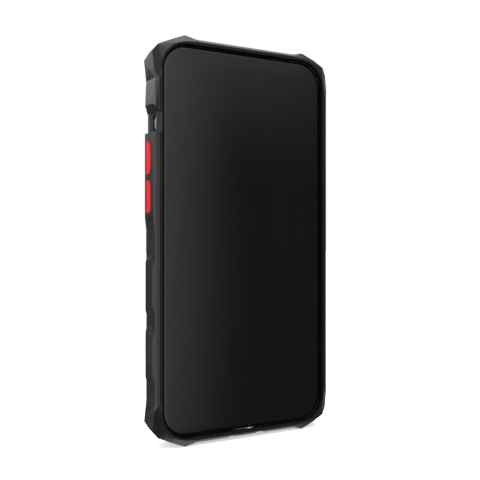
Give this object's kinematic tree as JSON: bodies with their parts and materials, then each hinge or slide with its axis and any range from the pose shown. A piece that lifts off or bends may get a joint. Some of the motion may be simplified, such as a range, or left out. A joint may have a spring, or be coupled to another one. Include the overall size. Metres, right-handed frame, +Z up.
{
  "type": "phone case",
  "caption": "Rugged upright phone case with faceted corner guards, side grips, red press-through buttons, a switch slot and a removable dark display dummy.",
  "frame": {"origin": "middle of the case's width and depth, at the foot of its two lower corner guards, on the surface that it stands on", "axes": "+Z up along the case's length, -Y out of the open front where the screen shows, +X towards the single side button, so the two volume buttons and the switch slot are on the -X side"},
  "size_m": [0.0792, 0.0132, 0.1536],
  "materials": {
    "sleeve_black": "matte",
    "frame_black": "satin",
    "guard_black": "satin",
    "back_black": "fine texture",
    "lining_grey": "brushed microfibre",
    "ring_black": "semi-gloss",
    "cushion_gel": "matte",
    "button_red": "satin",
    "plunger_black": "matte",
    "display_glass": "polished, black behind",
    "band_silver": "polished"
  },
  "bodies": {
    "case": {"inner_sleeve": "sleeve_black", "outer_frame": "frame_black", "back_plate": "back_black", "back_lining": "lining_grey", "camera_ring": "ring_black", "corner_guard_top_left": "guard_black", "corner_guard_top_right": "guard_black", "corner_guard_bottom_left": "guard_black", "corner_guard_bottom_right": "guard_black", "corner_cushion_top_left": "cushion_gel", "corner_cushion_top_right": "cushion_gel", "corner_cushion_bottom_left": "cushion_gel", "corner_cushion_bottom_right": "cushion_gel", "volume_panel": "guard_black", "side_button_panel": "guard_black", "port_surround": "ring_black", "grip_left_top": "guard_black", "grip_left_middle": "guard_black", "grip_left_low": "guard_black", "grip_right_top": "guard_black", "grip_right_middle": "guard_black", "grip_right_low": "guard_black"},
    "volume_up": {"volume_up_cap": "button_red", "volume_up_plunger": "plunger_black"},
    "volume_down": {"volume_down_cap": "button_red", "volume_down_plunger": "plunger_black"},
    "side_button": {"side_button_cap": "button_red", "side_button_plunger": "plunger_black"},
    "display_dummy": {"display_glass": "display_glass", "display_band": "band_silver"}
  },
  "joints": [
    {"name": "volume_up_press", "type": "slide", "parent": "case", "child": "volume_up", "axis": [1, 0, 0], "range_m": [0, 0.0005], "stiffness_N_per_m": 1000, "springref_m": -0.0003},
    {"name": "volume_down_press", "type": "slide", "parent": "case", "child": "volume_down", "axis": [1, 0, 0], "range_m": [0, 0.0005], "stiffness_N_per_m": 1000, "springref_m": -0.0003},
    {"name": "side_button_press", "type": "slide", "parent": "case", "child": "side_button", "axis": [-1, 0, 0], "range_m": [0, 0.0005], "stiffness_N_per_m": 1000, "springref_m": -0.0003},
    {"name": "display_lift_out", "type": "slide", "parent": "case", "child": "display_dummy", "axis": [0, -1, 0], "range_m": [0, 0.02]}
  ]
}
